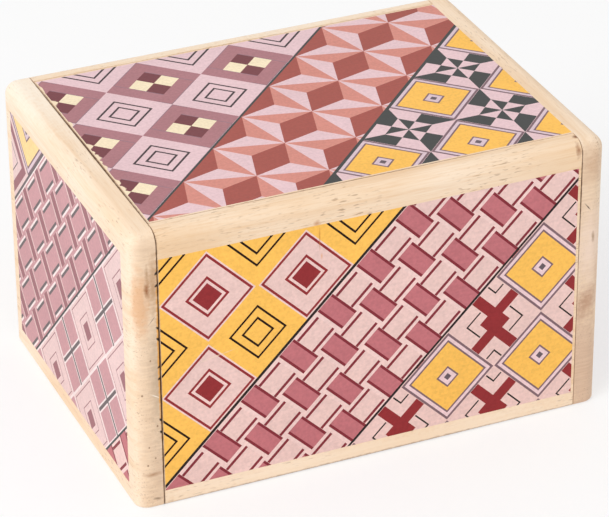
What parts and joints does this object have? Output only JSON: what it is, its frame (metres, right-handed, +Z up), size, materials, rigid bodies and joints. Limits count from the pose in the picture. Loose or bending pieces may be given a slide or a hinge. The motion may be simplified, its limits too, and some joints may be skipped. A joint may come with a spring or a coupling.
{
  "type": "wooden puzzle box",
  "caption": "Small wooden puzzle box with marquetry-pattern faces: an end panel slides up to reach a hidden key, and the lid slides out lengthwise with the other end.",
  "frame": {"origin": "middle of the footprint, on the surface the box stands on", "axes": "+Z up, +X along the box's length towards the end panel that moves with the lid, -Y towards the viewer at the front face"},
  "size_m": [0.12, 0.0874, 0.0727],
  "materials": {
    "pale_wood": "sanded and waxed",
    "printed_veneer": "printed marquetry pattern under satin lacquer",
    "dowel_wood": "plain turned"
  },
  "bodies": {
    "carcass": {"front_board": "pale_wood", "back_board": "pale_wood", "bottom_board": "pale_wood", "left_end_wall": "pale_wood", "right_end_wall": "pale_wood", "corner_dowels": "dowel_wood", "panel_rail_front": "pale_wood", "panel_rail_back": "pale_wood", "panel_stop_pin": "dowel_wood", "front_veneer": "printed_veneer", "back_veneer": "printed_veneer", "bottom_veneer": "printed_veneer"},
    "lid": {"lid_board": "pale_wood", "lid_veneer": "printed_veneer", "lid_dowels": "dowel_wood", "right_end_panel": "pale_wood", "right_end_veneer": "printed_veneer"},
    "left_end": {"left_end_panel": "pale_wood", "left_end_veneer": "printed_veneer"},
    "key": {"lock_key": "pale_wood"}
  },
  "joints": [
    {"name": "lid_slide", "type": "slide", "parent": "carcass", "child": "lid", "axis": [1, 0, 0], "range_m": [0, 0.1]},
    {"name": "left_end_slide", "type": "slide", "parent": "carcass", "child": "left_end", "axis": [0, 0, 1], "range_m": [0, 0.01]},
    {"name": "key_slide", "type": "slide", "parent": "carcass", "child": "key", "axis": [0, 0, 1], "range_m": [0, 0.0026]}
  ]
}
